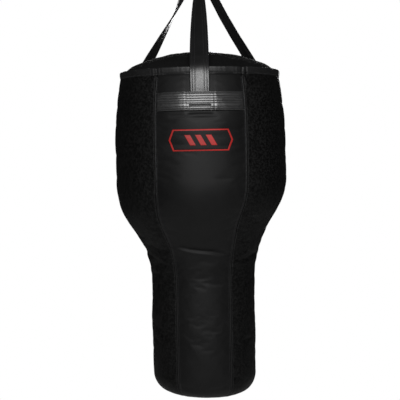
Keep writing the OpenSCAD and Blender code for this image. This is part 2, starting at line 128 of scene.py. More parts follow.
def wave(x, y, seed, scale):
    """Smooth noise from -1 to 1 over two lengths in metres."""
    x, y = np.broadcast_arrays(np.asarray(x, float), np.asarray(y, float))
    values = [noise.noise(Vector((a / scale, b / scale, seed))) for a, b in zip(x.flat, y.flat)]
    return np.array(values).reshape(x.shape)


def around(r, a, z):
    """Points at radii, angles and heights. Angle 0 is the front and 90 degrees the right."""
    return np.stack(np.broadcast_arrays(r * np.sin(a), -r * np.cos(a), z), -1)


def lengths_along(points):
    """The length along a polyline at each of its points."""
    return np.concatenate([[0], np.cumsum(np.linalg.norm(np.diff(points, axis=0), axis=1))])


def columns_at(x, known_x, table):
    """The rows of a table at places between its own."""
    return np.stack([np.interp(x, known_x, column) for column in table.T], 1)


def resampled(points, step):
    """Points every step along a polyline, and their lengths along it."""
    s = lengths_along(points)
    even = np.linspace(0, s[-1], max(2, int(round(s[-1] / step))))
    return even, columns_at(even, s, points)


def edge_round(distance, size):
    """0 at a strip's edge, rising in a quarter circle to 1 at size from it."""
    x = np.clip(distance / size, 0, 1)
    return np.sqrt(np.clip(1 - (1 - x) ** 2, 0, 1))


# ---- the bag's outline
def outline():
    """The skin's outer face as [radius, height under the rim], every 3 mm of its length."""
    crown_end = (UPPER_R - CROWN_R + CROWN_R * math.cos(TAPER),
                 -CROWN_H - CROWN_R * math.sin(TAPER))
    waist_r = LOWER_R + WAIST_R * (1 - math.cos(TAPER))
    waist_z = crown_end[1] - (crown_end[0] - waist_r) / math.tan(TAPER)
    waist_end = waist_z - WAIST_R * math.sin(TAPER)
    shoulder_start = math.asin((SHOULDER_H - HEM_H) / SHOULDER_R)
    return resampled(np.concatenate([
        np.array([[HEM_R - 0.8 * MM, -3 * MM], [HEM_R - 0.8 * MM, -HEM_H + MM]]),
        arc(UPPER_R - SHOULDER_R, -SHOULDER_H, SHOULDER_R, shoulder_start, 0, 40),
        arc(UPPER_R - CROWN_R, -CROWN_H, CROWN_R, 0, -TAPER, 40),
        arc(LOWER_R + WAIST_R, waist_end, WAIST_R, math.pi - TAPER, math.pi, 50),
        arc(LOWER_R - FOOT_R, FOOT_R - SKIN_H, FOOT_R, 0, -math.pi / 2, 40),
        np.array([[BASE_R, -SKIN_H]])]), 3 * MM)


PATH_S, PATH = outline()
PATH_N = normals(PATH)
SIDE = PATH[:, 1] > FOOT_R - SKIN_H


def length_at(z):
    """Length along the outline at a height under the rim, on the side of the bag."""
    return np.interp(-np.asarray(z, float), -PATH[SIDE, 1], PATH_S[SIDE])


def along_outline(s):
    """Radius and height of the plain outline at a length."""
    return np.interp(s, PATH_S, PATH[:, 0]), np.interp(s, PATH_S, PATH[:, 1])


# ---- the skin's relief
# Creases pressed into the skin: angle, height mm, slope deg, half length mm, depth mm, width mm
CREASES = [
    (-4, -468, -9, 58, 4.2, 2.6), (20, -478, -3, 24, 1.2, 3), (-14, -512, 10, 20, 0.6, 4),
    (6, -556, -6, 40, 0.4, 4), (-6, -540, 4, 34, 0.4, 4), (4, -732, 3, 16, 0.3, 3.5),
    (-40, -472, -14, 24, 2.6, 5), (-38, -494, -12, 22, 2.0, 4.5),
    (40, -478, 12, 20, 2.0, 4), (42, -500, 3, 24, 2.2, 4), (66, -492, 6, 30, 1.8, 5),
    (98, -485, -8, 34, 2.6, 5), (128, -495, 9, 32, 2.6, 5), (158, -483, -7, 36, 2.6, 5),
    (190, -492, 8, 38, 2.8, 5), (222, -484, -9, 34, 2.4, 5), (252, -494, 10, 30, 2.0, 5),
    (284, -486, -8, 34, 2.2, 5), (60, -560, 8, 18, 1.0, 5), (-70, -430, -20, 22, 1.0, 6),
    (75, -425, 18, 24, 1.0, 6), (-35, -34, 66, 12, 2.0, 3.5), (-38, -40, 80, 14, 1.5, 3.5),
    (34, -36, -70, 13, 2.0, 3.5), (38, -44, -82, 18, 1.6, 3.5), (12, -822, 8, 30, 1.8, 5),
    (-16, -828, -6, 26, 1.7, 5), (150, -590, 8, 24, 1.0, 5), (205, -600, -6, 26, 1.0, 5)]
FIELD_PHI = np.arange(-180, 180, 0.5)


def relief():
    """Uneven filling and creases, as a table over FIELD_PHI and PATH_S."""
    phi, s = np.meshgrid(FIELD_PHI, PATH_S, indexing="ij")
    r, z = along_outline(s)
    a = np.radians(phi)
    body = ease((-z - 30 * MM) / (60 * MM)) * ease((SKIN_H - 20 * MM + z) / (60 * MM))
    east, south = r * np.sin(a) + z * 0.31, r * np.cos(a) - z
    d = 1.6 * MM * wave(east, south, 7.7, 120 * MM) * body
    d += 0.5 * MM * wave(south - r * np.cos(a), east, 1.3, 40 * MM) * body
    neck = bump(z + 505 * MM, 55 * MM)
    d += 1.3 * MM * neck * wave(np.sin(a) * 70 * MM, s + np.cos(a) * 30 * MM, 5.9, 19 * MM)
    for angle, height, slope, half, deep, wide in CREASES:
        dx = np.radians(wrapped(phi - angle)) * r
        dz = z - height * MM
        c, q = math.cos(math.radians(slope)), math.sin(math.radians(slope))
        along, over = dx * c + dz * q, dz * c - dx * q
        over = over + 0.7 * MM * np.sin(along / (13 * MM) + angle)
        reach = ease(1.5 - np.abs(along) / (half * MM))
        groove = np.where(over > 0, bump(over, 3.2 * wide * MM), bump(over, wide * MM))
        lip = bump(over + 2.3 * wide * MM, 1.5 * wide * MM)
        d -= deep * MM * reach * (groove - 0.38 * lip)
    return d


RELIEF = relief()


def looked_up(table, phi, s):
    """A value from a table over FIELD_PHI and PATH_S, at angles and lengths."""
    x = (wrapped(phi) + 180) / (FIELD_PHI[1] - FIELD_PHI[0])
    y = np.clip(s / (PATH_S[1] - PATH_S[0]), 0, len(PATH_S) - 1.001)
    i, j = np.floor(x).astype(int), np.floor(y).astype(int)
    fx, fy = x - i, y - j
    n = len(FIELD_PHI)
    near = table[i % n, j] * (1 - fy) + table[i % n, j + 1] * fy
    far = table[(i + 1) % n, j] * (1 - fy) + table[(i + 1) % n, j + 1] * fy
    return near * (1 - fx) + far * fx


def from_seam(phi, r):
    """Signed distance to the nearest seam, along the skin."""
    turns = (np.asarray(phi, float) + SEAM_DEG / 2) / SEAM_DEG
    return np.radians((turns - np.round(turns)) * SEAM_DEG) * r


def swell(phi, s):
    """How far the skin stands off its plain outline, in metres, at angles in degrees."""
    r, z = along_outline(s)
    seam = from_seam(phi, r)
    off = np.abs(seam)
    foot = ease((SKIN_H - 20 * MM + z) / (60 * MM))
    body = ease((-z - 15 * MM) / (20 * MM))
    d = 1.4 * MM * np.sin(np.pi * np.clip(off / (60 * MM), 0, 0.5)) * foot
    d = d + looked_up(RELIEF, phi, s) * ease(off / (7 * MM))
    d -= 1.5 * MM * bump(off, 2.4 * MM) * body
    d += 0.3 * MM * bump(off - 7 * MM, 4 * MM) * body
    d -= NARROWING * bump(z - NARROWING_Z, 75 * MM) * np.sin(np.radians(phi)) ** 2
    gather = np.sin(s / (3.1 * MM) + 2.2 * np.sin(s / (23 * MM)) + np.sign(seam))
    d += 0.2 * MM * gather * bump(off - 5 * MM, 5 * MM) * body
    for angle, _, _, _ in STRAPS.values():
        x = np.abs(np.radians(wrapped(phi - angle))) * r
        pressed = ease((38 * MM - x) / (10 * MM)) * ease((z + 124 * MM) / (8 * MM))
        d = d * (1 - pressed) - 0.2 * MM * pressed
    return d


def slump(phi, s):
    """How the stuffed bag hangs off its plain outline: the taper leans to the left, and the
    bottom sags, most on the right. Sideways and downward, in metres."""
    z = along_outline(s)[1]
    left = LEAN * bump(z - LEAN_Z, 58 * MM)
    down = (SAG + SAG_TILT * np.sin(np.radians(phi))) * ease((-z - 770 * MM) / (80 * MM))
    return left, down


def on_skin(phi, s, lift=0.0):
    """Points on the swollen skin, lifted off it, for angles in degrees and lengths."""
    phi, s = np.broadcast_arrays(np.asarray(phi, float), np.asarray(s, float))
    r, z = along_outline(s)
    nr = np.interp(s, PATH_S, PATH_N[:, 0])
    nz = np.interp(s, PATH_S, PATH_N[:, 1])
    off = swell(phi, s) + lift
    left, down = slump(phi, s)
    a = np.radians(phi)
    r = r + nr * off
    return np.stack([r * np.sin(a) - left, -r * np.cos(a), RIM_Z + z + nz * off - down], -1)


def outward(phi, s):
    """Directions that point straight out of the skin."""
    return unit(on_skin(phi, s, MM) - on_skin(phi, s))


# ---- mesh tools
def linked(name, data):
    """A new object in the scene."""
    obj = bpy.data.objects.new(name, data)
    bpy.context.scene.collection.objects.link(obj)
    return obj


def make(name, points, faces):
    """A smooth mesh object with its faces turned outward."""
    mesh = bpy.data.meshes.new(name)
    mesh.from_pydata([tuple(p) for p in points], [], faces)
    work = bmesh.new()
    work.from_mesh(mesh)
    bmesh.ops.recalc_face_normals(work, faces=work.faces)
    work.to_mesh(mesh)
    work.free()
    mesh.shade_smooth()
    return linked(name, mesh)


def grid_faces(nu, nv, first=0, flip=False):
    """The faces between the points of a grid."""
    corners = [first + i * nv + j for i in range(nu - 1) for j in range(nv - 1)]
    faces = [(a, a + 1, a + nv + 1, a + nv) for a in corners]
    return [face[::-1] for face in faces] if flip else faces


def shell(name, outer, inner):
    """A closed solid between two grids of points of the same size."""
    nu, nv = outer.shape[:2]
    back = nu * nv
    faces = grid_faces(nu, nv) + grid_faces(nu, nv, back, True)
    border = [i * nv for i in range(nu)] + [(nu - 1) * nv + j for j in range(1, nv)]
    border += [i * nv + nv - 1 for i in range(nu - 2, -1, -1)] + list(range(nv - 2, 0, -1))
    for a, b in zip(border, border[1:] + border[:1]):
        faces.append((a, b, back + b, back + a))
    return make(name, np.concatenate([outer.reshape(-1, 3), inner.reshape(-1, 3)]), faces)


def sweep(name, rings, ends=True):
    """A skin over closed rings of points, from the first ring to the last, capped or joined."""
    n, m = rings.shape[:2]
    faces = []
    for i in range(n - 1 if ends else n):
        a, b = i * m, (i + 1) % n * m
        faces += [(a + k, a + (k + 1) % m, b + (k + 1) % m, b + k) for k in range(m)]
    if ends:
        faces += [tuple(range(m)), tuple((n - 1) * m + k for k in range(m))]
    return make(name, rings.reshape(-1, 3), faces)


def lathe(name, rings):
    """A turned solid: rings[i, j] is profile point j at angle i, and the profile's first and
    last points lie on the axis, each as one point."""
    n, m = rings.shape[:2]
    inner = rings[:, 1:-1].reshape(-1, 3)
    poles = [rings[:, 0].mean(0), rings[:, -1].mean(0)]
    k = m - 2
    faces = []
    for i in range(n):
        a, b = i * k, (i + 1) % n * k
        faces += [(a + j, a + j + 1, b + j + 1, b + j) for j in range(k - 1)]
        faces += [(n * k, a, b), (n * k + 1, b + k - 1, a + k - 1)]
    return make(name, np.concatenate([inner, poles]), faces)


def tube(name, path, radius):
    """A round cord swept along points, closed at both ends."""
    path = np.asarray(path, float)
    directions = unit(np.gradient(path, axis=0))
    side = np.array([0.0, 0.0, 1.0]) if abs(directions[0][2]) < 0.9 else np.array([1.0, 0.0, 0.0])
    a = np.linspace(0, 2 * math.pi, 8, endpoint=False)[:, None]
    rings = []
    for p, d in zip(path, directions):
        side = unit(side - d * (side @ d))
        rings.append(p + radius * (np.cos(a) * side + np.sin(a) * np.cross(d, side)))
    return sweep(name, np.array(rings))


def stitches(name, runs, pitch, length, radius):
    """Sewn thread: one small rounded stitch after another along each run of points.
    A run is (points, outward directions)."""
    points, faces = [], []
    rise = np.array([[0, 0], [0.22, 1], [0.78, 1], [1, 0]])
    g = np.arange(6)[:, None] * math.pi / 3
    for path, out in runs:
        s = lengths_along(path)
        starts = np.arange(pitch / 2, s[-1] - length, pitch)
        for a, b, n in zip(columns_at(starts, s, path), columns_at(starts + length, s, path),
                           columns_at(starts, s, out)):
            w = unit(np.cross(b - a, n))
            base = len(points)
            for along, high in rise:
                c = a + (b - a) * along + n * radius * (high * 0.9 - 0.35)
                wide, tall = radius * (0.45 + 0.55 * high), radius * (0.3 + 0.7 * high)
                points += list(c + w * wide * np.cos(g) + n * tall * np.sin(g))
            for i in range(3):
                for k in range(6):
                    p, q = base + i * 6 + k, base + i * 6 + (k + 1) % 6
                    faces.append((p, q, q + 6, p + 6))
            faces.append(tuple(base + k for k in range(6)))
            faces.append(tuple(base + 18 + k for k in range(6)))
    return make(name, points, faces)


def mirrored(half):
    """Places across a strip from its half's places, which run from the edge to the middle."""
    half = np.asarray(half, float)
    return np.concatenate([-half, half[-2::-1]])


# ---- cloth simulation
FRAMES = 20
# How much of the simulated movement a piece keeps
KEPT = 0.6


def simulated(start, pinned, pressure, slack, cap):
    """How far each point of a grid of cloth moves when it is blown out from behind. The
    pinned points stay, and no point moves further than the cap."""
    nu, nv = start.shape[:2]
    mesh = bpy.data.meshes.new("cloth")
    mesh.from_pydata([tuple(p) for p in start.reshape(-1, 3)], [], grid_faces(nu, nv))
    obj = linked("cloth", mesh)
    pins = obj.vertex_groups.new(name="pins")
    pins.add([int(i) for i in np.flatnonzero(pinned.ravel())], 1.0, "REPLACE")
    cloth = obj.modifiers.new("cloth", "CLOTH")
    cloth.point_cache.frame_end = FRAMES
    rules = cloth.settings
    rules.quality = 6
    rules.mass = 0.3
    rules.tension_stiffness = 30
    rules.compression_stiffness = 30
    rules.shear_stiffness = 12
    rules.bending_stiffness = 0.4
    rules.vertex_group_mass = "pins"
    rules.shrink_min = -slack
    rules.use_pressure = True
    rules.uniform_pressure_force = pressure
    rules.effector_weights.gravity = 0
    for number in range(1, FRAMES + 1):
        bpy.context.scene.frame_set(number)
    done = obj.evaluated_get(bpy.context.evaluated_depsgraph_get()).to_mesh()
    moved = np.zeros(nu * nv * 3, np.float32)
    done.vertices.foreach_get("co", moved)
    bpy.context.scene.frame_set(1)
    bpy.data.objects.remove(obj)
    moved = moved.reshape(nu, nv, 3) - start
    size = np.linalg.norm(moved, axis=-1, keepdims=True)
    return moved * np.minimum(1, cap / np.maximum(size, 1e-9))


def billow(middle):
    """Adds to RELIEF how one gore settles over its filling, held at its seams."""
    columns = 40
    phi = middle + np.linspace(-SEAM_DEG / 2, SEAM_DEG / 2, columns + 1)
    s = np.linspace(0, PATH_S[-1], 170)
    start = on_skin(phi[:, None], s[None, :])
    pinned = np.zeros(start.shape[:2], bool)
    pinned[[0, -1], :] = True
    pinned[:, [0, 1, 2, 3, -3, -2, -1]] = True
    moved = simulated(start, pinned, 4, 0.012, 4 * MM)
    off = (moved * outward(phi[:, None], s[None, :])).sum(-1)
    off = np.stack([np.interp(PATH_S, s, column) for column in off])
    for i, angle in enumerate(FIELD_PHI):
        place = wrapped(angle - middle)
        if abs(place) <= SEAM_DEG / 2:
            j = (place + SEAM_DEG / 2) / (SEAM_DEG / columns)
            k = min(int(j), columns - 1)
            RELIEF[i] += KEPT * (off[k] * (k + 1 - j) + off[k + 1] * (j - k))


for place in PANELS.values():
    billow(place)


# ---- materials
class Nodes:
    """A short way to write a node material."""

    def __init__(self, name):
        self.material = bpy.data.materials.new(name)
        self.material.use_nodes = True
        self.tree = self.material.node_tree
        self.tree.nodes.clear()
        out = self.tree.nodes.new("ShaderNodeOutputMaterial")
        self.shader = self.tree.nodes.new("ShaderNodeBsdfPrincipled")
        self.tree.links.new(self.shader.outputs[0], out.inputs[0])
        self.place = self.tree.nodes.new("ShaderNodeTexCoord").outputs["Object"]

    def give(self, socket, value):
        """Links another node's output to a socket, or sets its value."""
        if isinstance(value, bpy.types.NodeSocket):
            self.tree.links.new(value, socket)
        else:
            socket.default_value = value

    def add(self, kind, inputs=None, **settings):
        node = self.tree.nodes.new(kind)
        for key, value in settings.items():
            setattr(node, key, value)
        for key, value in (inputs or {}).items():
            self.give(node.inputs[key], value)
        return node

    def set(self, **values):
        for key, value in values.items():
            self.give(self.shader.inputs[key.replace("_", " ")], value)

    def noise(self, scale, detail=4.0, rough=0.55, place=None):
        return self.add("ShaderNodeTexNoise", {
            "Vector": place or self.place, "Scale": scale, "Detail": detail,
            "Roughness": rough}).outputs["Fac"]

    def cells(self, scale, place=None):
        return self.add("ShaderNodeTexVoronoi", {
            "Vector": place or self.place, "Scale": scale},
            feature="DISTANCE_TO_EDGE").outputs["Distance"]

    def ramp(self, value, low, high, to_low=0.0, to_high=1.0):
        return self.add("ShaderNodeMapRange", {
            "Value": value, "From Min": low, "From Max": high,
            "To Min": to_low, "To Max": to_high}).outputs["Result"]

    def math(self, operation, a, b):
        return self.add("ShaderNodeMath", {0: a, 1: b}, operation=operation).outputs[0]

    def mix(self, share, a, b):
        return self.add("ShaderNodeMix", {0: share, 6: a, 7: b}, data_type="RGBA").outputs[2]

    def mottled(self, value, base, dark, light):
        return self.mix(self.ramp(value, 0.3, 0.7), shade(base, dark), shade(base, light))

    def bump(self, height, strength, distance, normal=None):
        inputs = {"Height": height, "Strength": strength, "Distance": distance}
        if normal:
            inputs["Normal"] = normal
        return self.add("ShaderNodeBump", inputs).outputs[0]


def shade(colour, amount):
    """A colour made lighter or darker, as a shader takes it."""
    return (*[min(1.0, c * amount) for c in colour], 1)


def leather(name, base, rough, grain, depth, specular, fine=0.15, speckle=0.0):
    """Coated leather: pebbled cells with painted shade between them, fine pores, uneven dye and a
    broken-up gloss.
    """
    m = Nodes(name)
    wander = m.add("ShaderNodeTexNoise", {"Vector": m.place, "Scale": 160.0}).outputs["Color"]
    small = m.add("ShaderNodeVectorMath", {0: wander, "Scale": 0.004},
                  operation="SCALE").outputs[0]
    warp = m.add("ShaderNodeVectorMath", {0: m.place, 1: small}, operation="ADD").outputs[0]
    cell = m.ramp(m.cells(grain, warp), 0.0, 0.22)
    pores = m.noise(1500.0, 3.0)
    patchy = m.noise(9.0, 5.0, 0.6)
    flecks = m.noise(210.0, 3.0, 0.7)
    colour = m.mottled(patchy, base, 0.72, 1.3)
    # Painted shade: the valleys between the grain's cells are darkened in the colour
    colour = m.mix(m.ramp(cell, 0.0, 0.5, 0.5, 0.0), colour, shade(base, 0.35))
    colour = m.mix(m.ramp(flecks, 0.48, 0.70, 0.0, speckle), colour, shade(base, 7.0))
    gloss = m.math("ADD", m.ramp(patchy, 0.25, 0.75, rough - 0.05, rough + 0.06),
                   m.ramp(pores, 0.3, 0.7, -0.04, 0.04))
    normal = m.bump(cell, depth, 0.0006)
    normal = m.bump(pores, fine, 0.0004, normal)
    m.set(Base_Color=colour, Roughness=gloss, Specular_IOR_Level=specular, Normal=normal)
    return m.material


def woven(name, base, pitch, depth, rough, sheen):
    """Plain-woven cloth: crossing threads with painted shade between them, fuzz and worn colour.
    """
    m = Nodes(name)
    threads = [m.add("ShaderNodeTexWave", {
        "Vector": m.place, "Scale": 1 / pitch, "Distortion": 1.2, "Detail": 2.0,
        "Detail Scale": 3.0}, bands_direction=axis).outputs["Fac"] for axis in ("X", "Y")]
    weave = m.math("MAXIMUM", threads[0], threads[1])
    patchy = m.noise(14.0, 5.0)
    fuzz = m.noise(700.0, 3.0, 0.7)
    colour = m.mottled(patchy, base, 0.7, 1.3)
    # Painted shade: the colour is darkened where the weave dips, between the threads
    colour = m.mix(m.ramp(weave, 0.2, 0.9, 0.45, 0.0), colour, shade(base, 0.4))
    colour = m.mix(m.ramp(fuzz, 0.5, 0.75, 0.0, 0.5), colour, shade(base, 2.6))
    normal = m.bump(weave, depth, 0.0006)
    normal = m.bump(fuzz, 0.2, 0.0004, normal)
    m.set(Base_Color=colour, Roughness=rough, Normal=normal, Sheen_Weight=sheen,
          Sheen_Roughness=0.4, Specular_IOR_Level=0.12)
    return m.material


def thread(name, base):
    """Twisted sewing thread."""
    m = Nodes(name)
    ply = m.add("ShaderNodeTexWave", {"Vector": m.place, "Scale": 700.0, "Distortion": 2.0},
                bands_direction="DIAGONAL").outputs["Fac"]
    colour = m.mottled(m.noise(60.0, 3.0), base, 0.8, 1.25)
    m.set(Base_Color=colour, Roughness=0.62, Normal=m.bump(ply, 0.4, 0.0002),
          Specular_IOR_Level=0.4)
    return m.material


def metal(name, base, rough, brushed, worn):
    """Plated steel: fine scratches, cloudy plating and duller patches."""
    m = Nodes(name)
    cloud = m.noise(45.0, 5.0, 0.6)
    spots = m.noise(260.0, 4.0, 0.65)
    stretched = m.add("ShaderNodeMapping", {
        "Vector": m.place, "Scale": (900.0, 900.0, 60.0)}).outputs[0]
    colour = m.mottled(cloud, base, 0.82, 1.0)
    colour = m.mix(m.ramp(spots, 0.58, 0.7, 0.0, worn), colour, shade(base, 0.55))
    gloss = m.math("ADD", m.ramp(cloud, 0.3, 0.7, rough - 0.05, rough + 0.09),
                   m.ramp(spots, 0.55, 0.7, 0.0, 0.12))
    normal = m.bump(spots, 0.12, 0.0004)
    normal = m.bump(m.noise(1.0, 2.0, 0.5, stretched), brushed, 0.0003, normal)
    m.set(Base_Color=colour, Metallic=1.0, Roughness=gloss, Normal=normal)
    return m.material


def foam_material(name, base):
    """Open-cell foam."""
    m = Nodes(name)
    pores = m.ramp(m.cells(380.0), 0.0, 0.35)
    colour = m.mottled(m.noise(30.0, 4.0), base, 0.8, 1.0)
    m.set(Base_Color=colour, Roughness=0.92, Normal=m.bump(pores, 0.7, 0.001))
    return m.material


FRONT = leather("front_leather", (0.0042, 0.0042, 0.0043), 0.54, 520.0, 0.08, 0.15, 0.12)
GRAINED = leather("side_leather", (0.0010, 0.0010, 0.0010), 0.54, 260.0, 0.5, 0.09, 0.5, 3.2)
BAND = leather("band_leather", (0.010, 0.010, 0.0102), 0.40, 560.0, 0.05, 1.0, 0.05)
STRAP = leather("strap_leather", (0.007, 0.007, 0.0072), 0.35, 560.0, 0.10, 0.5, 0.10)
HEM = leather("hem_leather", (0.006, 0.006, 0.0062), 0.46, 520.0, 0.14, 0.35)
PIPING = leather("piping_leather", (0.009, 0.009, 0.0092), 0.5, 600.0, 0.15, 0.25)
RED = leather("red_vinyl", (0.34, 0.012, 0.010), 0.5, 620.0, 0.08, 0.3)
COVER = woven("cover_fabric", (0.0044, 0.0044, 0.0045), 1.1 * MM, 0.5, 0.85, 0.0)
TAPE = woven("zip_tape_fabric", (0.012, 0.012, 0.0125), 0.8 * MM, 0.5, 0.8, 0.15)
THREAD = thread("black_thread", (0.022, 0.022, 0.023))
FORGED = metal("forged_zinc", (0.56, 0.57, 0.58), 0.34, 0.05, 0.5)
BRIGHT = metal("bright_zinc", (0.66, 0.67, 0.69), 0.24, 0.12, 0.3)
BEARING = metal("polished_steel", (0.74, 0.75, 0.77), 0.12, 0.04, 0.15)
ZIPMETAL = metal("zip_nickel", (0.42, 0.42, 0.44), 0.3, 0.1, 0.3)
FOAM = foam_material("grey_foam", (0.22, 0.22, 0.235))
TEXTILE = woven("shredded_textile", (0.11, 0.11, 0.12), 9 * MM, 0.8, 0.9, 0.2)


def finish(obj, material, slot, *nodes):
    """Gives a piece its material and lets it ride on the bag for the CAD nodes, which it hides.
    The slot is not used.
    """
    obj.data.materials.append(material)
    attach(obj, "bag")
    if nodes:
        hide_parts(*nodes)
    return obj


# ---- gores, welts and bottom
def panel(name, middle):
    """One gore. Its edges turn in a little at the seams."""
    seam_edge, fine_from = 29.35, 27
    side = np.linspace(fine_from, seam_edge, 9)
    centre = np.linspace(-fine_from, fine_from, 46)[1:-1]
    phi = middle + np.concatenate([-side[::-1], centre, side])
    outer = on_skin(phi[:, None], PATH_S[None, 1:])
    inner = on_skin(phi[:, None], PATH_S[None, 1:], -SKIN_T)
    smooth = name in SMOOTH_PANELS
    obj = finish(shell(name + "_skin", outer, inner), FRONT if smooth else GRAINED,
                 "smooth_leather" if smooth else "grained_leather", name)


def welt(name, middle):
    """Piping in a seam: a covered cord that sits between two gores."""
    s = PATH_S[PATH[:, 1] < -HEM_H - MM]
    wander = 0.3 * MM * wave(s * 0, s, middle * 0.1, 30 * MM)
    path = on_skin(middle + np.degrees(wander / along_outline(s)[0]), s, 0.5 * MM)
    finish(tube(name + "_cord", path, 1.3 * MM), PIPING, "piping", name)


def skin_run(phi, s, lift=0.1 * MM):
    """A line along the skin with its outward directions, for stitching."""
    phi, s = np.broadcast_arrays(np.asarray(phi, float), np.asarray(s, float))
    return on_skin(phi, s, lift), outward(phi, s)


def seam_stitching():
    """The rows of top stitching on both sides of each seam."""
    s = PATH_S[(PATH[:, 1] < -HEM_H - 4 * MM) & (PATH[:, 1] > 4 * MM - SKIN_H)]
    beside = np.degrees(5 * MM / along_outline(s)[0])
    runs = [skin_run(middle + side * beside, s) for middle in WELTS.values() for side in (-1, 1)]
    finish(stitches("seam_stitching", runs, 5 * MM, 3.8 * MM, 0.36 * MM), THREAD, "piping")


def bottom():
    """The round bottom panel, slightly crowned, and the welt round it."""
    top_z = RIM_Z - SKIN_H + SKIN_T
    edge = BASE_R - 3.2 * MM
    r = np.concatenate([np.linspace(0, edge - 4 * MM, 24), edge - np.array([2, 0.8, 0.2, 0]) * MM])
    a = np.radians(np.arange(0, 360, 3))[:, None]
    uneven = wave(r * np.cos(a), r * np.sin(a), 4.4, 35 * MM)
    crown = (1.2 * MM + 0.6 * MM * uneven) * (1 - (r / edge) ** 2)
    sag = SAG + SAG_TILT * np.sin(a) * r / BASE_R
    low = RIM_Z - SKIN_H + 0.5 * MM * (1 - edge_round(edge - r, 4 * MM)) - crown - sag
    profile = np.concatenate([around(r, a, low), around(r, a, top_z - sag)[:, ::-1]], 1)
    obj = finish(lathe("bottom_leather", profile), GRAINED, "grained_leather", "bottom_panel")
    g = np.linspace(0, 2 * math.pi, 10, endpoint=False)
    ring_r = BASE_R - 1.6 * MM + 1.4 * MM * np.cos(g)
    ring_sag = SAG + SAG_TILT * np.sin(a)
    ring_z = RIM_Z - SKIN_H + 0.6 * MM + 1.4 * MM * np.sin(g) - ring_sag
    finish(sweep("bottom_piping", around(ring_r, a, ring_z), ends=False), PIPING, "piping",
           "bottom_welt")


for panel_name, place in PANELS.items():
    panel(panel_name, place)
for welt_name, place in WELTS.items():
    welt(welt_name, place)
seam_stitching()
bottom()


# ---- rim hem
def hem_offset(phi, z):
    """Gathers along the hem: small vertical folds, deeper beside the seams."""
    off = np.abs(from_seam(phi, HEM_R))
    across = np.radians(phi) * HEM_R
    folds = wave(across, across * 0, 8.8, 7 * MM) + 0.6 * wave(across, across * 0, 2.2, 19 * MM)
    depth = 0.4 * MM + 2.2 * MM * bump(off - 10 * MM, 9 * MM)
    notch = 1.8 * MM * bump(off, 3 * MM)
    return folds * depth * ease(-z / (14 * MM) + 0.3) - notch


# Heights under the rim of the fold's centre and of the row of stitches
HEM_TOP = -5.2 * MM
HEM_ROW = 3.6 * MM - HEM_H


def hem():
    """The folded binding over the top edge of the gores, with its row of stitches."""
    phi = np.arange(0, 360, 0.5)
    fold_r = 2.6 * MM
    fold = arc(HEM_R - 0.8 * MM, HEM_TOP, fold_r, 0, math.pi, 9)
    outside = np.array([
        [-0.6, 0.2], [0.1, 0.4], [0.5, 1.2], [0.5, 2.2], [-0.1, 3.0], [-0.4, 3.6], [-0.1, 4.2],
        [0.6, 5.2], [1.0, 8.0], [1.3, 11.0], [1.6, 14.0]]) * MM + [HEM_R, -HEM_H]
    inside = np.array([
        [-3.6, 16.0], [-5.4, 0.2], [-4.4, 0.2], [-3.6, 13.5], [-1.2, 15.4], [-1.0, 12.0]]
    ) * MM + [HEM_R, -HEM_H]
    profile = np.concatenate([outside, fold, inside])
    r, z = profile[:, 0], profile[:, 1]
    shows = (np.arange(len(profile)) < len(outside) + len(fold))[None, :]
    off = hem_offset(phi[:, None], z[None, :]) * shows
    a = np.radians(phi)[:, None]
    seam = np.abs(from_seam(phi, HEM_R))[:, None]
    dip = (1.6 * MM * bump(seam, 7 * MM) + 0.5 * MM * wave(
        a * HEM_R, 0 * a, 5.5, 24 * MM)) * ease((z + HEM_H) / HEM_H)
    finish(sweep("rim_binding", around(r + off, a, RIM_Z + z - dip), ends=False),
           HEM, "hem_leather", "rim_hem")
    turn = np.arange(0, 360, 1.0)
    row_r = HEM_R - 0.3 * MM + hem_offset(turn, HEM_ROW + 0 * turn)
    b = np.radians(turn)
    run = around(row_r, b, RIM_Z + HEM_ROW), around(1, b, 0)
    finish(stitches("hem_stitching", [run], 4.4 * MM, 3.3 * MM, 0.4 * MM), THREAD, "hem_leather")


hem()


# ---- bands
# Rows of stitches and the slit over the strap's end, down from a band's top edge
BAND_ROWS = np.array([5.5, 11.5, 17.5, 23.5, 29, 38, 42.5]) * MM
SLIT = 33.5 * MM


def band_lift(x, down):
    """Height of a band's face over the skin: x from the strap's middle, down from its top edge."""
    over_strap = np.clip(1 - (x / (114 * MM)) ** 2, 0, 1)
    lift = 2.3 * MM + 5.6 * MM * over_strap
    edge = np.minimum(down, BAND_H - down)
    lift = lift - 1.6 * MM * (1 - edge_round(edge, 1.8 * MM)) + 0.7 * MM * bump(
        edge - 1.9 * MM, 1.3 * MM)
    for row in BAND_ROWS:
        lift = lift - 0.55 * MM * bump(down - row, 1.0 * MM)
    slit_end = ease((27 * MM - np.abs(x)) / (4 * MM))
    lift = lift - 3.6 * MM * slit_end * bump(down - SLIT, 1.3 * MM)
    lift = lift + 0.6 * MM * slit_end * bump(down - SLIT - 3 * MM, 2 * MM)
    return lift + 0.3 * MM * np.sin(x / (5 * MM)) * bump(np.abs(x) - 40 * MM, 14 * MM) * (
        down / BAND_H)


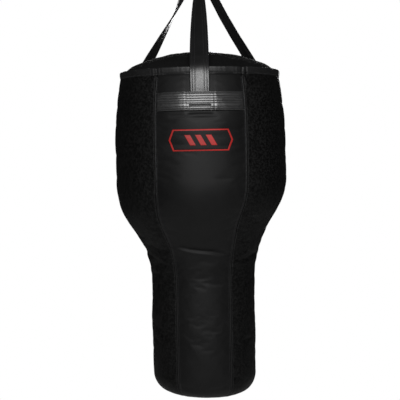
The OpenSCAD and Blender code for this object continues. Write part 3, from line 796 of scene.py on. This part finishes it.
def band(name, middle, strap_angle):
    """A folded leather band over a strap's end, stitched in rows and sewn in at both seams."""
    reach = 29.2
    phi = np.linspace(-reach, reach, 110)
    shift = strap_angle - middle
    down = np.unique(np.concatenate([
        np.linspace(0, 3.6, 10), np.linspace(3.6, 43.4, 90), np.linspace(43.4, 47, 10)])) * MM
    wobble = 0.5 * MM * wave(np.radians(phi) * UPPER_R, phi * 0, middle * 0.1 + 1.5, 45 * MM)
    s = length_at(BAND_TOP)[None] + down[None, :] + wobble[:, None]
    x = (np.radians(phi - shift) * UPPER_R)[:, None]
    lift = band_lift(x, down[None, :])
    ends = ease((reach - np.abs(phi)) / 1.2)[:, None]
    lift = 0.5 * MM + (lift - 0.5 * MM) * ends
    outer = on_skin(middle + phi[:, None], s, lift)
    inner = on_skin(middle + phi[:, None], s, np.maximum(lift - 2.1 * MM, 0.1 * MM) * ends
                    + 0.1 * MM)
    finish(shell(name + "_leather", outer, inner), BAND, "band_leather", name)
    runs = []
    turn = np.linspace(-reach + 1.2, reach - 1.2, 120)
    for row in BAND_ROWS:
        row_s = length_at(BAND_TOP) + row + np.interp(turn, phi, wobble)
        across = np.radians(turn - shift) * UPPER_R
        runs.append(skin_run(middle + turn, row_s, band_lift(across, row) + 0.05 * MM))
    finish(stitches(name + "_stitching", runs, 3.4 * MM, 2.5 * MM, 0.33 * MM),
           THREAD, "band_leather")


for band_name, angles in BANDS.items():
    band(band_name, *angles)


# ---- straps
U_DIR = np.array([-math.sin(HANG_TURN), math.cos(HANG_TURN)])
N_DIR = np.array([math.cos(HANG_TURN), math.sin(HANG_TURN)])


def shoulder_radius(z):
    """Radius of the plain outline on the shoulder."""
    return UPPER_R - SHOULDER_R + np.sqrt(SHOULDER_R ** 2 - (z + SHOULDER_H) ** 2)


def strap_low_radius(z):
    """Radius of a strap's middle on the body and where it bends over the rim."""
    band_r = shoulder_radius(np.minimum(z, BAND_TOP)) + STRAP_T / 2 + 0.3 * MM
    rim_r = STRAP_RIM_R + 1.5 * MM
    over_rim = np.clip(1 - z / BAND_TOP, 0, 1.3)
    on_body = np.where(z < BAND_TOP, band_r, band_r - (band_r - rim_r) * over_rim ** 2)
    in_air = STRAP_RIM_R * (1 - z / STRAP_CROSS_H)
    softness = 14 * MM ** 2
    return (on_body + in_air) / 2 - np.sqrt((on_body - in_air) ** 2 / 4 + softness)


def soft_positive(x):
    """x where it is above 0 and almost 0 below, with a soft bend between."""
    return (x + np.sqrt(x * x + 4 * MM ** 2)) / 2


def strap_points(angle, place, z):
    """A strap's middle line: down the body, over the rim, up to its place in the yoke."""
    a = math.radians(angle)
    out = np.array([math.sin(a), -math.cos(a)])
    across = (out @ U_DIR) * STRAP_RIM_R * (1 - z / STRAP_CROSS_H)
    level = (out @ N_DIR) * soft_positive(STRAP_RIM_R * (1 - z / FLAT_H))
    stack = place * (STRAP_T + 2.5 * MM) * ease((z - 140 * MM) / (90 * MM))
    in_air = across[:, None] * U_DIR + (level + stack)[:, None] * N_DIR
    low = strap_low_radius(z)[:, None] * out
    xy = np.where((z < 20 * MM)[:, None], low, in_air)
    return np.column_stack([xy, RIM_Z + z])


def strap_frame(angle, twist, lateness, place, z):
    """A strap's middle line with its width and outward directions."""
    step = 0.5 * MM
    along = unit(strap_points(angle, place, z + step) - strap_points(angle, place, z - step))
    turn = np.radians(angle + twist * np.clip(z / TWIST_END, 0, 1) ** lateness)
    level = np.stack([np.cos(turn), np.sin(turn), 0 * turn], -1)
    wide = unit(level - (level * along).sum(-1, keepdims=True) * along)
    return strap_points(angle, place, z), wide, np.cross(wide, along)


# Rows of edge stitching, out from the strap's middle
STRAP_ROWS = np.array([18.4, 11.6]) * MM
STITCHED_TO = 266 * MM
STRAP_ACROSS = mirrored(np.array([
    24, 23.9, 23.5, 22.8, 21.8, 20.6, 19.3, 18.8, 18.4, 18, 17.5, 16, 13, 12.1, 11.6, 11.1,
    10, 7, 3.5, 0]) * MM)


def strap_height(x):
    """Half thickness of a strap across its width: rounded edges, sewn channels, a soft crown."""
    half = STRAP_T / 2 * (0.25 + 0.75 * edge_round(STRAP_W / 2 - np.abs(x), 1.8 * MM))
    half = half + 0.35 * MM * (1 - (x / (STRAP_W / 2)) ** 2)
    for row in STRAP_ROWS:
        half = half - 0.45 * MM * bump(np.abs(x) - row, 0.9 * MM)
    return half


def strap(name, angle, twist, lateness, place):
    """A strap of leather-faced webbing with edge stitching, cupped where it hangs free."""
    z = np.arange(STRAP_TAIL, STRAP_END, 3 * MM)
    middle, wide, out = strap_frame(angle, twist, lateness, place, z)
    x = STRAP_ACROSS
    free = ease((z - 30 * MM) / (40 * MM)) * ease((235 * MM - z) / (40 * MM))
    face = strap_height(x)[None, :] + 0.25 * MM * wave(
        z[:, None], x[None, :], angle * 0.1 + 3, 18 * MM)
    cup = 1.2 * MM * free[:, None] * (x[None, :] / (STRAP_W / 2)) ** 2 * wave(
        z[:, None], 0 * x[None, :], angle * 0.1 + 7, 70 * MM)
    level = middle[:, None] + wide[:, None] * x[None, :, None]
    front = level + out[:, None] * (cup + face)[..., None]
    back = level + out[:, None] * (cup - face)[..., None]
    finish(sweep(name + "_webbing", np.concatenate([front, back[:, ::-1]], 1)),
           STRAP, "strap_leather", name)
    runs = []
    for side, low in ((1, BAND_TOP + 2 * MM), (-1, 6 * MM)):
        z = np.arange(low, STITCHED_TO, 6 * MM)
        middle, wide, out = strap_frame(angle, twist, lateness, place, z)
        for row in STRAP_ROWS:
            for edge in (-row, row):
                path = middle + wide * edge + out * side * (strap_height(edge) - 0.05 * MM)
                runs.append((path, out * side))
    finish(stitches(name + "_stitching", runs, 4 * MM, 3 * MM, 0.32 * MM),
           THREAD, "strap_leather")


for strap_name, facts in STRAPS.items():
    strap(strap_name, *facts)


# ---- yoke over the D-ring's bar
LEAF_T = 3.2 * MM
# Height over the rim and half width
YOKE_OUTLINE = np.array([[272, 38], [288, 45], [297, 45], [301, 42], [311, 23], [318, 21],
                         [340, 21]]) * MM


def yoke():
    """Leather folded over the bar, its two leaves sewn through the strap ends."""
    low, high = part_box("strap_yoke")
    fold_r = 9.4 * MM + LEAF_T / 2
    fold_z = high.z - fold_r - LEAF_T / 2
    side = np.linspace(low.z, fold_z, 26)
    bend = np.linspace(math.pi, 0, 22)[1:-1]
    n = np.concatenate([0 * side - fold_r, fold_r * np.cos(bend), 0 * side + fold_r])
    z = np.concatenate([side, fold_z + fold_r * np.sin(bend), side[::-1]])
    normal = normals(np.stack([n, z], 1))
    half = np.interp(z - RIM_Z, YOKE_OUTLINE[:, 0], YOKE_OUTLINE[:, 1])
    share = mirrored([1, 0.99, 0.96, 0.91, 0.87, 0.83, 0.7, 0.5, 0.25, 0])
    tip = np.minimum(np.arange(len(z)), np.arange(len(z))[::-1]) * 1.9 * MM
    flat = edge_round((1 - np.abs(share))[None, :] * half[:, None] + 0.05 * MM, 1.6 * MM)
    flat = flat * edge_round(tip + 0.05 * MM, 1.6 * MM)[:, None]
    thick = LEAF_T / 2 * (0.2 + 0.8 * flat)
    puff = 0.25 * MM * wave(z[:, None], share[None, :] * half[:, None], 6.1, 14 * MM)
    faces = []
    for way in (1, -1):
        off = way * thick + puff * flat
        at_n = n[:, None] + normal[:, :1] * off
        at_z = z[:, None] + normal[:, 1:] * off
        at_u = share[None, :] * half[:, None]
        faces.append(np.stack([
            at_n * N_DIR[0] + at_u * U_DIR[0], at_n * N_DIR[1] + at_u * U_DIR[1], at_z], -1))
    finish(shell("yoke_leather", faces[0], faces[1]), STRAP, "strap_leather", "strap_yoke")
    runs = []
    for way in (-1, 1):
        out = np.array([*(way * N_DIR), 0])
        for corners in ([[-36, 276], [36, 276], [41, 290], [-41, 290], [-36, 276]],
                        [[-40, 294], [40, 294]], [[-19, 311], [19, 311]],
                        [[-34, 278], [34, 289]], [[34, 278], [-34, 289]]):
            _, line = resampled(np.array(corners, float) * MM, 3 * MM)
            path = [(*(way * (fold_r + thick.max()) * N_DIR + u * U_DIR), RIM_Z + h)
                    for u, h in line]
            runs.append((np.array(path), np.tile(out, (len(path), 1))))
    finish(stitches("yoke_stitching", runs, 3.8 * MM, 2.9 * MM, 0.4 * MM), THREAD,
           "strap_leather")


yoke()


# ---- padded cover and its zip
ZIP_LOW, ZIP_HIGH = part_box("zip_tape_front")
ZIP_HALF = (ZIP_HIGH.x - ZIP_LOW.x) / 2


def cover():
    """The padded lid: a blown-out round of cloth that ends inside the hem."""
    dome_z = COVER_H - math.sqrt(DOME_R ** 2 - COVER_FLAT_R ** 2)
    _, profile = resampled(np.concatenate([
        [[1.5 * MM, COVER_H]],
        arc(0, dome_z, DOME_R, math.acos(COVER_FLAT_R / DOME_R), math.radians(62.5), 30),
        [[COVER_R, -HEM_H / 2], [COVER_R, -HEM_H + 5 * MM]]]), 4.5 * MM)
    a = np.radians(np.arange(0, 362, 2))[:, None]
    r, z = profile[:, 0], profile[:, 1]
    start = around(r, a, RIM_Z + z)
    by_zip = ease((24 * MM - np.abs(start[..., 1])) / (8 * MM)) * ease(
        (ZIP_HALF + 14 * MM - np.abs(start[..., 0])) / (8 * MM))
    normal = normals(profile)
    outward_dir = around(normal[:, 0], a, normal[:, 1])
    moved = np.zeros_like(start)
    pinned = (by_zip > 0.5) | (r > 196 * MM)[None, :]
    pinned[:, 0] = True
    moved = simulated(start, pinned, 3, 0.02, 5 * MM)
    moved[-1] = moved[0]
    free = (1 - by_zip) * ease((200 * MM - r) / (12 * MM))[None, :]
    ripple = wave(start[..., 0], start[..., 1], 2.6, 34 * MM) - 0.6
    radial = wave(30 * np.sin(a) + 0 * z, 30 * np.cos(a) + 0 * z, 1.7, 1.1)
    puff = 1.3 * MM * ripple * free + 1.1 * MM * radial * free * ease(
        (r - 130 * MM) / (50 * MM)) - 1.6 * MM * by_zip * bump(start[..., 1], 4 * MM)
    top = start + moved * free[..., None] * KEPT + outward_dir * puff[..., None]
    under = top - outward_dir * 2.0 * MM
    rings = np.concatenate([top, under[:, ::-1]], 1)[:-1]
    obj = finish(lathe("cover_cloth", rings), COVER, "cover_fabric", "top_cover")


def zip_tape(name):
    """One woven tape of the zip, with its two rows of stitches."""
    low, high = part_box(name)
    x = np.linspace(low.x, high.x, 60)
    y = np.linspace(low.y, high.y, 12)
    edge = np.minimum(y - low.y, high.y - y)
    wobble = 0.15 * MM * wave(x[:, None], y[None, :], low.y * 90, 16 * MM)
    top = high.z - 0.4 * MM * (1 - edge_round(edge, 1.5 * MM))[None, :] + wobble
    xs, ys = np.broadcast_arrays(x[:, None], y[None, :])
    upper = np.stack([xs, ys, top], -1)
    lower = np.stack([xs, ys, 0 * top + low.z + 0.05 * MM], -1)
    finish(shell(name + "_woven", upper, lower), TAPE, "zip_tape", name)
    up = np.array([0.0, 0.0, 1.0])
    runs = []
    for inset in (2.2 * MM, 5 * MM):
        line_y = low.y + inset if low.y < -5 * MM else high.y - inset
        path = np.stack([x, 0 * x + line_y, 0 * x + high.z + 0.05 * MM], -1)
        runs.append((path, np.tile(up, (len(x), 1))))
    finish(stitches(name + "_stitching", runs, 3.4 * MM, 2.5 * MM, 0.3 * MM), THREAD, "zip_tape")


cover()
zip_tape("zip_tape_front")
zip_tape("zip_tape_rear")


# ---- front patch
def patch():
    """A plain red badge with bevelled ends, a dark field and three bars. It has no lettering."""
    low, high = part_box("front_patch")
    top, height = RIM_Z - high.z, high.z - low.z
    half_w = high.x * 0.985
    s0 = length_at(-top)

    def piece(name, half_across, inset, lift, base, material, slot, *nodes, shift=0.0, slant=0.0):
        """One layer of the badge, raised from its base by the lift."""
        down = np.linspace(inset, height - inset, 26)
        cut = np.clip(np.abs(down - height / 2) / (height / 2), 0, 1)
        half = half_across - 0.42 * (height / 2) * cut * (slant == 0)
        share = mirrored([1, 0.995, 0.98, 0.95, 0.9, 0.8, 0.65, 0.5, 0.3, 0.15, 0])
        x = share[:, None] * half[None, :] + shift + slant * (down - height / 2)[None, :]
        phi = np.degrees(x / UPPER_R)
        edge = np.minimum((1 - np.abs(share))[:, None] * half[None, :],
                          np.minimum(down - down[0], down[-1] - down)[None, :])
        outer = base + lift * (0.3 + 0.7 * edge_round(edge, 1.2 * MM))
        s = s0 + down[None, :]
        finish(shell(name, on_skin(phi, s, outer), on_skin(phi, s, 0 * outer + base)),
               material, slot, *nodes)

    piece("patch_edge", half_w, 0, 0.9 * MM, 0.1 * MM, RED, "red_vinyl", "front_patch")
    piece("patch_field", half_w - 5 * MM, 3.4 * MM, 0.5 * MM, 0.9 * MM, FRONT, "smooth_leather")
    for number in (-1, 0, 1):
        piece(f"patch_bar_{number + 2}", 7 * MM, 14 * MM, 0.5 * MM, 1.3 * MM, RED,
              "red_vinyl", shift=number * 26 * MM, slant=0.55)


patch()


# ---- foam liner and filling
def turned(name, profile, material, slot, node, lump):
    """A turned soft piece with an uneven surface. The profile runs from axis to axis, or it is
    a closed loop off the axis."""
    _, points = resampled(profile * MM, 12 * MM)
    a = np.radians(np.arange(0, 360, 5))[:, None]
    r, z = points[:, 0], points[:, 1]
    uneven = lump * (wave(r * np.cos(a) + z, r * np.sin(a) - z, 3.9, 45 * MM) - 0.8)
    r = np.maximum(r + uneven * ease(r / (40 * MM)), 0)
    rings = around(r, a, RIM_Z + z)
    on_axis = points[0, 0] < MM
    obj = lathe(name, rings) if on_axis else sweep(name, rings[:, :-1], ends=False)
    finish(obj, material, slot, node)


def inset_path(depth, top, bottom_z):
    """The outline between two heights, moved in by a depth, in millimetres."""
    keep = (PATH[:, 1] <= top) & (PATH[:, 1] >= bottom_z)
    return (PATH[keep] - PATH_N[keep] * depth) / MM


# How far under the skin the foam sleeves begin and end
FOAM_OUT, FOAM_IN = 8.5 * MM, 36 * MM


def foam_sleeve(name):
    """A sleeve of foam between the heights of its CAD node."""
    low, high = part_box(name)
    top, bottom_z = high.z - RIM_Z - MM, low.z - RIM_Z + MM
    outer = inset_path(FOAM_OUT, top, bottom_z)
    inner = inset_path(FOAM_IN, top, bottom_z)
    loop = np.concatenate([outer, inner[::-1], outer[:1]])
    turned(name + "_foam", loop, FOAM, "foam", name, 0.8 * MM)


for foam_name in ("foam_upper", "foam_taper", "foam_neck", "foam_lower"):
    foam_sleeve(foam_name)

foot_in = inset_path(FOAM_OUT, FOOT_R - SKIN_H - MM, -SKIN_H)
turned("base_foam", np.concatenate([[[0, foot_in[0, 1]]], foot_in, [[0, foot_in[-1, 1]]]]),
       FOAM, "foam", "foam_base", 0.8 * MM)
turned("top_foam", np.array([
    [0, 38], [66, 38], [110, 28], [150, 14], [180, 0], [196, -20], [0, -20]]),
    FOAM, "foam", "foam_top", 0.8 * MM)
fill_in = inset_path(40 * MM, -40 * MM, FOOT_R - SKIN_H + 2 * MM)
turned("packed_textile", np.concatenate([[[0, -30], [170, -30]], fill_in, [[0, fill_in[-1, 1]]]]),
       TEXTILE, "textile", "textile_filling", 2 * MM)


# ---- hardware
def gate_spring():
    """The gate's torsion spring: a helix of wire round the pin."""
    low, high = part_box("gate_spring")
    centre = (low + high) / 2
    turns, coil_r = 2.6, 3.2 * MM
    t = np.linspace(0, 1, 70)
    a = 2 * math.pi * turns * t
    path = np.array(centre) + np.outer(coil_r * np.cos(a), [*N_DIR, 0]) + np.outer(
        coil_r * np.sin(a), [0, 0, 1]) + np.outer((t - 0.5) * 2.0 * MM, [*U_DIR, 0])
    obj = tube("spring_wire", path, 0.38 * MM)
    obj.data.materials.append(BRIGHT)
    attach(obj, "gate")
    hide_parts("gate_spring")


HARDWARE = (
    (FORGED, ("d_ring", "hook_body", "hanger_eye")),
    (BRIGHT, ("gate_pin", "hook_gate", "clevis_pin", "clevis_cotter", "swivel_housing",
              "swivel_clevis", "shank_nut", "shank_cotter")),
    (BEARING, ("race_upper", "race_lower", "thrust_balls")),
    (ZIPMETAL, ("zip_teeth", "zip_stops", "zip_slider", "zip_pull")))
# How far the sharp edges of the smaller forged and cast pieces are broken
EDGE_BREAK = {
    "swivel_housing": 0.5 * MM, "swivel_clevis": 0.6 * MM, "shank_nut": 0.5 * MM,
    "zip_teeth": 0.35 * MM, "zip_stops": 0.5 * MM, "zip_slider": 0.3 * MM, "zip_pull": 0.3 * MM}


def hardware(node, material):
    """Dresses a CAD part in its metal and breaks its edges."""
    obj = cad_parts[node]
    obj.data.materials.clear()
    obj.data.materials.append(material)
    if node in EDGE_BREAK:
        bevel = obj.modifiers.new("edge_break", "BEVEL")
        bevel.width = EDGE_BREAK[node]
        bevel.segments = 2
        bevel.limit_method = "ANGLE"
        bevel.angle_limit = math.radians(40)


gate_spring()
for plating, parts in HARDWARE:
    for part in parts:
        hardware(part, plating)


# ---- camera, light, floor
def look_at(obj, target):
    """Turns a camera or light to face a point."""
    obj.rotation_mode = "QUATERNION"
    obj.rotation_quaternion = (Vector(target) - obj.location).to_track_quat("-Z", "Y")


def add_camera():
    """The photo's camera: a little under the rim, 2.5 m away, with a small roll."""
    camera = linked("camera", bpy.data.cameras.new("camera"))
    bpy.context.scene.camera = camera
    camera.data.lens = 82.1
    camera.data.sensor_width = 36
    camera.location = (-4.6 * MM, -2.481, RIM_Z - 0.185)
    look_at(camera, (-4.6 * MM, 0, RIM_Z - 0.348))
    roll = Quaternion((0, 0, 1), math.radians(-1.07))
    camera.rotation_quaternion = camera.rotation_quaternion @ roll


def area_light(name, place, target, size, power):
    light = bpy.data.lights.new(name, "AREA")
    light.shape = "RECTANGLE"
    light.size, light.size_y = size
    light.energy = power
    obj = linked(name, light)
    obj.location = place
    look_at(obj, target)


def studio():
    """Soft studio light, white for the camera and dim as light, over a pale floor."""
    area_light("key", (0.0, -2.8, RIM_Z + 0.66), (0, 0, RIM_Z - 0.1), (2.2, 0.4), 84)
    area_light("front", (0.0, -3.0, RIM_Z - 0.25), (0, 0, RIM_Z - 0.4), (1.2, 1.2), 10)
    for name, x in (("left", -2.6), ("right", 2.6)):
        area_light(name, (x, -1.4, RIM_Z + 0.8), (0, 0, RIM_Z - 0.1), (1.0, 1.4), 2.2)
    area_light("back", (0.2, 2.9, RIM_Z + 0.5), (0, 0, RIM_Z - 0.3), (1.8, 1.0), 50)
    world = bpy.data.worlds.new("studio")
    bpy.context.scene.world = world
    world.use_nodes = True
    tree = world.node_tree
    tree.nodes.clear()
    seen, lit = (tree.nodes.new("ShaderNodeBackground") for _ in range(2))
    for node, strength in ((seen, 1.0), (lit, 0.04)):
        node.inputs[0].default_value = (1, 1, 1, 1)
        node.inputs[1].default_value = strength
    ray = tree.nodes.new("ShaderNodeLightPath")
    mixed = tree.nodes.new("ShaderNodeMixShader")
    out = tree.nodes.new("ShaderNodeOutputWorld")
    tree.links.new(ray.outputs["Is Camera Ray"], mixed.inputs[0])
    tree.links.new(lit.outputs[0], mixed.inputs[1])
    tree.links.new(seen.outputs[0], mixed.inputs[2])
    tree.links.new(mixed.outputs[0], out.inputs[0])
    bpy.context.scene.view_settings.view_transform = "Standard"


def floor():
    """A plain pale floor under the hanging bag."""
    floor_z = RIM_Z - SKIN_H - 0.8
    a = np.radians(np.arange(0, 360, 4))
    rim = np.stack([2.5 * np.cos(a), 2.5 * np.sin(a), 0 * a + floor_z], -1)
    obj = make("floor", rim, [tuple(range(len(a)))])
    m = Nodes("pale_floor")
    tone = m.noise(3.0, 5.0)
    m.set(Base_Color=m.mix(m.ramp(tone, 0.3, 0.7), (0.80, 0.80, 0.79, 1), (0.84, 0.84, 0.83, 1)),
          Roughness=0.8)
    obj.data.materials.append(m.material)


add_camera()
studio()
floor()
